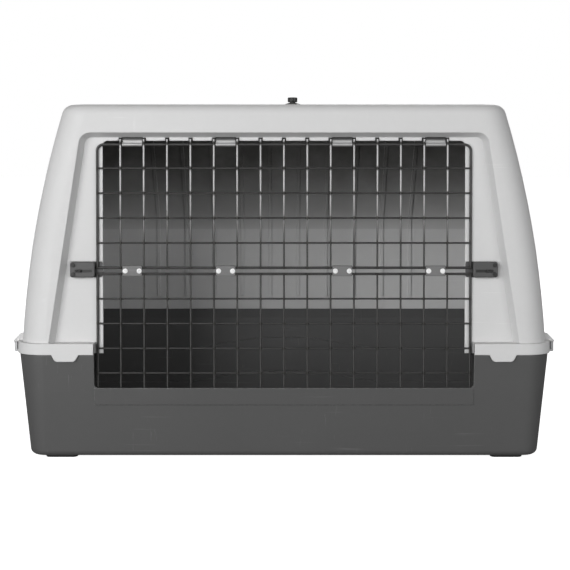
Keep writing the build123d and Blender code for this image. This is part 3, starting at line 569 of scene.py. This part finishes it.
@dataclass(frozen=True)
class PlatedWire:
    """Dull zinc-plated wire with uneven plating, tinted welds and a painted glint on the uprights' upper
    parts.

    Attributes:
        name: The material's name.
        colour: The plating's colour.
        tint: The colour round the welds.
        pitch: The mesh pitch, across and up, in metres.
        start: Height of one of the cross wires.
        painted_glint: The colour of the painted glint on the uprights, at the top.
        seam: Where the uprights end and the cross wires start, front to rear.
        fade: How far before the seam the painted glint on an upright starts and is complete.
        glint_heights: Between which heights the uprights go from the plating's colour to the painted glint.
        roughness: Its usual roughness.
        metal: How metallic it is.
    """

    name: str
    colour: Colour
    tint: Colour
    pitch: tuple[float, float]
    start: float
    painted_glint: Colour
    seam: float
    fade: tuple[float, float] = (0.0008, 0.0014)
    glint_heights: tuple[float, float] = (0.4, 0.55)
    roughness: float = 0.5
    metal: float = 0.35

    def make(self, effects: Effects) -> bpy.types.Material:
        """Build the material."""
        coat = Coat(self.name, effects)
        sums = coat.wiring
        cloud = coat.effect(Effect.CLOUD, Scale=25.0, Amount=0.3)
        weld = coat.effect(Effect.WELD, Pitch_X=self.pitch[0], Pitch_Z=self.pitch[1], Start_Z=self.start)
        grain = coat.effect(Effect.GRAIN, Scale=1500.0)
        split = sums.add("SeparateXYZ")
        sums.join(sums.add("TexCoord").outputs["Object"], split.inputs[0])
        starts, complete = (self.seam - distance for distance in self.fade)
        upright = sums.ramp(split.outputs["Y"], starts, complete)
        # The mask below is a painted glint that brightens the uprights towards the top; the cross wires keep
        # the dull colour.
        new = sums.sum("MULTIPLY", sums.ramp(split.outputs["Z"], *self.glint_heights), upright)
        colour = coat.brighten(coat.tint(self.colour, self.painted_glint, new), cloud.outputs["Value"])
        coat.set("Base Color", coat.tint(colour, self.tint, weld.outputs["Mask"]))
        rough = sums.sum("MULTIPLY_ADD", cloud.outputs["Value"], PLATING_DULLS, self.roughness)
        coat.set("Roughness", sums.sum("MULTIPLY_ADD", weld.outputs["Mask"], WELD_DULLS, rough))
        coat.set("Metallic", self.metal)
        coat.bump(grain.outputs["Height"], distance=0.0001, strength=0.5)
        return coat.material


@dataclass(frozen=True)
class BrightMetal:
    """Sheet zinc or bright screws, with brushed lines, worn edges and painted shade above a given height.

    Attributes:
        name: The material's name.
        colour: The metal's colour.
        worn: The colour of its rubbed edges.
        roughness: Its usual roughness.
        brush: How strongly brushed lines show.
        metal: How metallic it is.
        top_shade_colour: The colour of the painted shade on its upper part.
        top_shade_heights: Between which heights the painted shade begins.
    """

    name: str
    colour: Colour
    worn: Colour
    roughness: float = 0.35
    brush: float = 0.2
    metal: float = 1.0
    top_shade_colour: Colour = (0.05, 0.05, 0.05, 1.0)
    top_shade_heights: tuple[float, float] = (2.0, 3.0)

    def make(self, effects: Effects) -> bpy.types.Material:
        """Build the material."""
        coat = Coat(self.name, effects)
        sums = coat.wiring
        cloud = coat.effect(Effect.CLOUD, Scale=40.0, Amount=0.2)
        edge_lightening = coat.effect(Effect.RUB, Radius=0.0006, Amount=0.7)
        place = sums.add("TexCoord").outputs["Object"]
        lines = sums.noise(sums.stretch(place, (3000.0, 300.0, 60.0)), 1.0, 2.0)
        split = sums.add("SeparateXYZ")
        sums.join(place, split.inputs[0])
        colour = coat.brighten(self.colour, cloud.outputs["Value"])
        colour = coat.tint(colour, self.worn, edge_lightening.outputs["Mask"])
        # Painted shade: the metal turns dark above the given heights.
        coat.set("Base Color", coat.tint(colour, self.top_shade_colour, sums.ramp(split.outputs["Z"], *self.top_shade_heights)))
        coat.set("Roughness", sums.sum("MULTIPLY_ADD", lines, self.brush, self.roughness))
        coat.set("Metallic", self.metal)
        coat.bump(lines, distance=0.00005, strength=self.brush, normal=edge_lightening.outputs["Normal"])
        return coat.material


@dataclass(frozen=True)
class FloorPaper:
    """Seamless pale paper under the crate.

    Attributes:
        name: The material's name.
        colour: The paper's colour.
        bounce: The colour it has for everything but the camera.
        glow: Strength of the light it gives off, for the camera alone.
    """

    name: str
    colour: Colour
    bounce: Colour
    glow: float = 0.5

    def make(self, effects: Effects) -> bpy.types.Material:
        """Build the material."""
        coat = Coat(self.name, effects)
        cloud = coat.effect(Effect.CLOUD, Scale=3.0, Amount=0.01)
        grain = coat.effect(Effect.GRAIN, Scale=700.0)
        seen = coat.wiring.add("LightPath").outputs["Is Camera Ray"]
        colour = coat.tint(self.bounce, self.colour, seen)
        coat.set("Base Color", coat.brighten(colour, cloud.outputs["Value"]))
        coat.set("Roughness", 0.9)
        coat.set("Emission Color", self.colour)
        coat.set("Emission Strength", coat.wiring.sum("MULTIPLY", seen, self.glow))
        coat.bump(grain.outputs["Height"], distance=0.0001, strength=0.3)
        return coat.material


@dataclass
class Finishes:
    """Every finish of the crate, made once and handed out by name.

    Attributes:
        effects: The shared effects.
        made: The materials made so far.
    """

    effects: Effects = field(default_factory=Effects)
    made: dict[str, bpy.types.Material] = field(default_factory=dict)

    def dress(self, piece: bpy.types.Object, finish: object) -> None:
        """Give a piece one finish all over.

        Args:
            piece: A CAD node or a new piece.
            finish: The finish to use.
        """
        if finish.name not in self.made:
            self.made[finish.name] = finish.make(self.effects)
        material = self.made[finish.name]
        if not piece.material_slots:
            piece.data.materials.append(material)
        for slot in piece.material_slots:
            slot.material = material


@dataclass
class Assembly:
    """A group of the crate's pieces that are built and dressed together.

    Attributes:
        finishes: The crate's finishes.
    """

    finishes: Finishes

    def node(self, name: str) -> bpy.types.Object:
        """Return a CAD node."""
        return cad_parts[name]

    def dress_nodes(self, names: list[str], finish: object) -> None:
        """Give several CAD nodes one finish."""
        for name in names:
            self.finishes.dress(self.node(name), finish)
            LOG.info("dressed %s in %s", name, finish.name)

    def place(self, piece: bpy.types.Object, body: str, slot: str, finish: object, *nodes: str) -> None:
        """Dress a new piece and let it ride on a body.

        Args:
            piece: The new piece.
            body: The body it moves with.
            slot: The record's material slot; not used.
            finish: Its finish.
            nodes: CAD nodes that it stands for.
        """
        self.finishes.dress(piece, finish)
        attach(piece, body)
        if nodes:
            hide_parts(*nodes)
        LOG.info("built %s, %d faces", piece.name, len(piece.data.polygons))


@dataclass
class Shell(Assembly):
    """The light grey upper half."""

    finish: MouldedPlastic = MouldedPlastic(
        "light shell plastic",
        grey(0.66),
        worn=grey(0.78),
        dust=grey(0.5, 0.06),
        roughness=0.5,
        cloud=0.05,
        scuffs=0.35,
        edge_lightening=0.35,
        dusty=0.25,
        edge=0.003,
        # Painted shade on the shell's inner faces under the roof, darkest near the roof.
        underside_shade=0.95,
    )

    def dress(self) -> None:
        """Dress the shell."""
        self.dress_nodes(["upper_shell"], self.finish)


@dataclass
class Tray(Assembly):
    """The dark lower half and its feet."""

    finish: MouldedPlastic = MouldedPlastic(
        "dark tray plastic",
        grey(0.084),
        # The strong edge lightening below is partly wear and partly a painted highlight along the sill edge
        # and the arch ledges inside.
        worn=grey(0.24),
        dust=grey(0.3, 0.08),
        roughness=0.45,
        cloud=0.1,
        scuffs=0.22,
        edge_lightening=0.9,
        dusty=0.25,
        edge=0.0025,
    )
    rubber: MouldedPlastic = MouldedPlastic(
        "foot rubber",
        grey(0.022),
        worn=grey(0.06),
        dust=grey(0.25, 0.06),
        roughness=0.75,
        grain_scale=1400.0,
        cloud=0.2,
        scuffs=0.6,
        edge_lightening=0.8,
        dusty=0.4,
        edge=0.001,
    )

    def dress(self) -> None:
        """Dress the tray and the feet."""
        self.dress_nodes(["lower_tray"], self.finish)
        self.dress_nodes([f"rubber_foot_{number}" for number in range(1, 5)], self.rubber)


@dataclass(frozen=True)
class Grille:
    """Where one wire panel of the door has its cross wires.

    Attributes:
        name: Upper or lower.
        body: The body it moves with.
        lowest: Height of its lowest cross wire that lies on the pitch.
        levels: How many cross wires lie on the pitch.
        end: Height of its end wire, which lies off the pitch.
    """

    name: str
    body: str
    lowest: float
    levels: int
    end: float


@dataclass
class WireDoor(Assembly):
    """Both grilles, with a weld bead at each crossing.

    Attributes:
        columns: Upright wires between the two sides.
        pitch: Mesh pitch, across and up.
        seam: Where uprights and cross wires touch, front to rear.
        bead: Half size of a weld bead, across, deep and up.
        grilles: The two panels.
        wire: Brightness of the dull wire, of the painted glint on the uprights' upper parts and of the weld
            tint.
        turns: How far a bead is turned from one column and one level to the next, in radians.
    """

    columns: int = 15
    pitch: tuple[float, float] = (0.045, 0.048)
    seam: float = -0.3144
    bead: Place = (0.0027, 0.0013, 0.0027)
    grilles: tuple[Grille, ...] = (
        Grille("upper", "upper_door", 0.371, 5, 0.6085),
        Grille("lower", "lower_door", 0.167, 5, 0.1215),
    )
    wire: Place = (0.055, 0.5, 0.04)
    turns: tuple[float, float] = (6.3, 2.7)

    def finish(self, grille: Grille) -> PlatedWire:
        """Return the finish of one grille."""
        # The second brightness is a painted glint on the uprights' upper parts.
        dull, painted_glint, tint = self.wire
        return PlatedWire(
            f"plated wire, {grille.name} panel",
            colour=grey(dull, 0.01),
            tint=grey(tint, 0.05),
            pitch=self.pitch,
            start=grille.lowest,
            painted_glint=grey(painted_glint),
            seam=self.seam,
        )

    def beads(self, grille: Grille) -> bpy.types.Object:
        """Make the weld beads of one grille.

        Args:
            grille: Which panel.

        Returns:
            One piece that holds every bead.
        """
        Bench.clear()
        bpy.ops.mesh.primitive_uv_sphere_add(segments=8, ring_count=5, radius=1.0)
        bead = Bench.take("bead")
        bead.scale = self.bead
        Bench.settle(bead)
        places = []
        half = (self.columns - 1) / 2
        on_pitch = [grille.lowest + level * self.pitch[1] for level in range(grille.levels)]
        for column in range(self.columns):
            across = (column - half) * self.pitch[0]
            for level, height in enumerate([grille.end] + on_pitch):
                turn = Matrix.Rotation(column * self.turns[0] + level * self.turns[1], 4, "Y")
                places.append(Matrix.Translation((across, self.seam, height)) @ turn)
        piece = Bench.repeat(bead, places, f"{grille.name}_weld_beads")
        Bench.smooth(piece, angle=80.0)
        return piece

    def build(self) -> None:
        """Dress both grilles and weld them."""
        for grille in self.grilles:
            finish = self.finish(grille)
            self.dress_nodes([f"{grille.name}_grille"], finish)
            self.place(self.beads(grille), grille.body, "grille_wire", finish)


@dataclass
class ScrewHeads(Assembly):
    """Cross-recessed pan-head screws.

    Attributes:
        head_radius: Radius of a head.
        head_height: Its height.
        shank_radius: Radius of the shank.
        recess: Length, width and depth of a cross slot.
        links: Where the links' middles are, across.
        spacing: Between the two screws of a link.
        seat: Where the links' front faces are.
        height: The height of the link screws.
        length: Length of their shanks.
        turns: How far a screw is turned from link to link and across a link, in radians.
        sides: Sides of a head and of a shank.
        rounding: Share of the head's height that is rounded off.
        finish: The screws' finish.
    """

    head_radius: float = 0.005
    head_height: float = 0.0018
    shank_radius: float = 0.0015
    recess: Place = (0.0042, 0.0009, 0.0012)
    links: tuple[float, ...] = (-0.2925, -0.1125, 0.1125, 0.2925)
    spacing: float = 0.027
    seat: float = -0.31725
    height: float = 0.365
    length: float = 0.0078
    turns: tuple[float, float] = (3.5, 0.7)
    sides: tuple[int, int] = (28, 14)
    rounding: float = 0.6
    # The link screws are near-white and barely metallic: a painted highlight standing in for the glint on
    # their shiny heads.
    finish: BrightMetal = BrightMetal(
        "link screws with painted highlight", grey(0.92), worn=grey(0.95), roughness=0.4, metal=0.1
    )

    def build(self) -> None:
        """Drive two screws into each link."""
        places = []
        for number, middle in enumerate(self.links):
            for side in (-0.5, 0.5):
                across = middle + side * self.spacing
                turn = Matrix.Rotation(number * self.turns[0] + side * self.turns[1], 4, "Y")
                places.append(Matrix.Translation((across, self.seat, self.height)) @ turn)
        piece = Bench.repeat(self.pattern(), places, "link_screw_set")
        Bench.smooth(piece, angle=35.0)
        self.place(piece, "upper_door", "screw_steel", self.finish, "link_screws")

    def pattern(self) -> bpy.types.Object:
        """Make one screw whose head's underside lies at the origin, facing -Y."""
        Bench.clear()
        bpy.ops.mesh.primitive_cylinder_add(
            vertices=self.sides[0],
            radius=self.head_radius,
            depth=self.head_height,
            location=(0.0, -self.head_height / 2, 0.0),
            rotation=(math.pi / 2, 0.0, 0.0),
        )
        head = Bench.settle(Bench.take("screw"))
        Bench.pick(head)
        bpy.ops.object.mode_set(mode="EDIT")
        bpy.ops.mesh.select_mode(type="FACE")
        bpy.ops.mesh.select_all(action="DESELECT")
        mesh = bmesh.from_edit_mesh(head.data)
        for face in mesh.faces:
            face.select_set(face.normal.y < FACES_FRONT)
        bmesh.update_edit_mesh(head.data)
        bpy.ops.mesh.bevel(offset=self.head_height * self.rounding, segments=3, affect="EDGES")
        bpy.ops.object.mode_set(mode="OBJECT")
        length, width, depth = self.recess
        for turn in (0.0, math.pi / 2):
            Bench.clear()
            bpy.ops.mesh.primitive_cube_add(
                size=1.0, location=(0.0, -self.head_height, 0.0), rotation=(0.0, turn, 0.0)
            )
            slot = Bench.take("slot")
            slot.scale = (length, depth * 2, width)
            Bench.carve(head, Bench.settle(slot))
        Bench.clear()
        bpy.ops.mesh.primitive_cylinder_add(
            vertices=self.sides[1],
            radius=self.shank_radius,
            depth=self.length,
            location=(0.0, self.length / 2, 0.0),
            rotation=(math.pi / 2, 0.0, 0.0),
        )
        shank = Bench.settle(Bench.take("shank"))
        return Bench.join([head, shank], "screw")


@dataclass(frozen=True)
class Lamp:
    """One soft light.

    Attributes:
        name: The light's name.
        where: Where it hangs.
        aim: What it points at.
        size: The side of its square.
        power: Its power in watts.
    """

    name: str
    where: Place
    aim: Place
    size: float
    power: float

    def hang(self) -> None:
        """Add the light to the scene."""
        light = bpy.data.lights.new(self.name, "AREA")
        light.size = self.size
        light.energy = self.power
        lamp = bpy.data.objects.new(self.name, light)
        lamp.location = self.where
        lamp.rotation_euler = (Vector(self.aim) - Vector(self.where)).to_track_quat("-Z", "Y").to_euler()
        bpy.context.scene.collection.objects.link(lamp)


@dataclass
class Studio:
    """Pale floor, soft lights and camera.

    Attributes:
        floor_size: Side of the floor.
        ambient: Strength of the room's light at the horizon and overhead.
        sky: How far up the sky the first strength ends and the second begins, from 0 to 1.
        lamps: The lights.
        eye: Where the camera stands.
        pitch: How far it looks down, in degrees.
        lens: Its focal length, in millimetres.
        shift: Its vertical shift.
        paper: The floor's finish.
    """

    floor_size: float = 400.0
    ambient: tuple[float, float] = (0.42, 0.1)
    sky: tuple[float, float] = (0.1, 0.9)
    lamps: tuple[Lamp, ...] = (
        Lamp("key light", (-2.0, -3.5, 1.1), (0.0, -0.2, 0.35), 2.2, 98.0),
        Lamp("fill light", (2.3, -3.3, 0.8), (0.0, -0.2, 0.35), 1.8, 34.0),
        Lamp("back light", (0.8, 3.8, 3.2), (0.0, 0.0, 0.3), 2.4, 60.0),
    )
    eye: Place = (0.002, -2.716, 0.550)
    pitch: float = 1.5
    lens: float = 78.73
    shift: float = -0.1357
    paper: FloorPaper = FloorPaper("pale floor paper", grey(0.9), bounce=grey(0.36), glow=1.0)

    def build(self, finishes: Finishes) -> None:
        """Build the floor, the lights and the camera."""
        self._floor(finishes)
        self._world()
        for lamp in self.lamps:
            lamp.hang()
        self._camera()
        bpy.context.scene.view_settings.view_transform = "Standard"

    def _floor(self, finishes: Finishes) -> None:
        """Lay the floor."""
        Bench.clear()
        bpy.ops.mesh.primitive_plane_add(size=self.floor_size)
        floor = Bench.take("floor")
        finishes.dress(floor, self.paper)
        floor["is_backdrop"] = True

    def _world(self) -> None:
        """Fill the room with soft light, weaker overhead, and show white behind the crate."""
        world = bpy.data.worlds.new("studio")
        bpy.context.scene.world = world
        world.use_nodes = True
        wiring = Wiring(world.node_tree)
        world.node_tree.nodes.clear()
        path = wiring.add("LightPath")
        ambient = wiring.add("Background")
        ambient.inputs["Color"].default_value = grey(1.0)
        split = wiring.add("SeparateXYZ")
        wiring.join(wiring.add("TexCoord").outputs["Generated"], split.inputs[0])
        level, overhead = self.ambient
        height = wiring.ramp(split.outputs["Z"], *self.sky)
        strength = wiring.sum("MULTIPLY_ADD", height, overhead - level, level)
        wiring.join(strength, ambient.inputs["Strength"])
        backdrop = wiring.add("Background")
        backdrop.inputs["Color"].default_value = grey(1.0)
        backdrop.inputs["Strength"].default_value = 1.0
        mix = wiring.add("MixShader")
        wiring.join(path.outputs["Is Camera Ray"], mix.inputs["Fac"])
        wiring.join(ambient.outputs[0], mix.inputs[1])
        wiring.join(backdrop.outputs[0], mix.inputs[2])
        wiring.join(mix.outputs[0], wiring.add("OutputWorld").inputs["Surface"])

    def _camera(self) -> None:
        """Set up the camera."""
        data = bpy.data.cameras.new("camera")
        data.lens = self.lens
        data.sensor_width = SENSOR_WIDTH
        data.shift_y = self.shift
        data.clip_end = FAR_CLIP
        camera = bpy.data.objects.new("camera", data)
        camera.location = self.eye
        camera.rotation_euler = (math.radians(90.0 - self.pitch), 0.0, 0.0)
        bpy.context.scene.collection.objects.link(camera)
        bpy.context.scene.camera = camera


@dataclass
class Fittings(Assembly):
    """Straps, links, latches, clips and the roof clamp."""

    zinc: BrightMetal = BrightMetal(
        "rolled zinc sheet",
        grey(0.45),
        worn=grey(0.62),
        roughness=0.4,
        metal=0.6,
        # Painted shade on the straps' upper parts, above the loop, where they run up into their slots in the
        # panel.
        top_shade_heights=(0.6145, 0.6195),
    )
    screw: BrightMetal = BrightMetal("bright screws", grey(0.75, 0.01), worn=grey(0.85), roughness=0.3)
    dark_screw: BrightMetal = BrightMetal(
        "blackened screws", grey(0.05), worn=grey(0.16), roughness=0.4, metal=0.6
    )
    link: MouldedPlastic = MouldedPlastic(
        "link plastic",
        grey(0.17),
        worn=grey(0.26),
        dust=grey(0.3, 0.05),
        roughness=0.45,
        edge=0.0008,
        cloud=0.08,
    )
    latch: MouldedPlastic = MouldedPlastic(
        "latch plastic",
        grey(0.075),
        worn=grey(0.22),
        dust=grey(0.3, 0.05),
        roughness=0.42,
        edge=0.0012,
        cloud=0.08,
    )
    bolt: MouldedPlastic = MouldedPlastic(
        "bolt plastic",
        grey(0.02),
        worn=grey(0.07),
        dust=grey(0.2, 0.05),
        roughness=0.38,
        edge=0.0008,
        cloud=0.1,
    )
    clip: MouldedPlastic = MouldedPlastic(
        "clip plastic",
        grey(0.58, -0.01),
        worn=grey(0.7),
        dust=grey(0.45, 0.06),
        roughness=0.5,
        edge=0.0012,
    )
    knob: MouldedPlastic = MouldedPlastic(
        "knob plastic",
        grey(0.018),
        worn=grey(0.07),
        dust=grey(0.22, 0.05),
        roughness=0.4,
        edge=0.0008,
        cloud=0.1,
    )
    base: MouldedPlastic = MouldedPlastic(
        "knob seat plastic",
        grey(0.1),
        worn=grey(0.2),
        dust=grey(0.3, 0.05),
        roughness=0.42,
        edge=0.001,
        cloud=0.08,
    )

    def dress(self) -> None:
        """Dress every small fitting."""
        numbers = range(1, 5)
        self.dress_nodes([f"top_strap_{number}" for number in numbers], self.zinc)
        halves = [f"link_{side}_{number}" for side in ("front", "rear") for number in numbers]
        self.dress_nodes(halves, self.link)
        self.dress_nodes(["strap_screws", "clip_pins", "clamp_stud"], self.screw)
        self.dress_nodes(["latch_screws"], self.dark_screw)
        for side in ("left", "right"):
            self.dress_nodes([f"{side}_latch_plate", f"{side}_latch_cover"], self.latch)
            self.dress_nodes([f"{side}_latch_bolt"], self.bolt)
        clips = ["clip_front_right", "clip_rear_right", "clip_front_left", "clip_rear_left"]
        self.dress_nodes(clips, self.clip)
        self.dress_nodes(["roof_knob", "clamp_plate"], self.knob)
        self.dress_nodes(["knob_base"], self.base)


def main(cad_box: tuple[Vector, Vector]) -> None:
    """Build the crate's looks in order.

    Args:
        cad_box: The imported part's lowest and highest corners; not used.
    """
    logging.basicConfig(level=logging.INFO, format="%(message)s")
    finishes = Finishes()
    Studio().build(finishes)
    Shell(finishes).dress()
    Tray(finishes).dress()
    WireDoor(finishes).build()
    ScrewHeads(finishes).build()
    Fittings(finishes).dress()


if __name__ == "__main__":
    main(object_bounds())
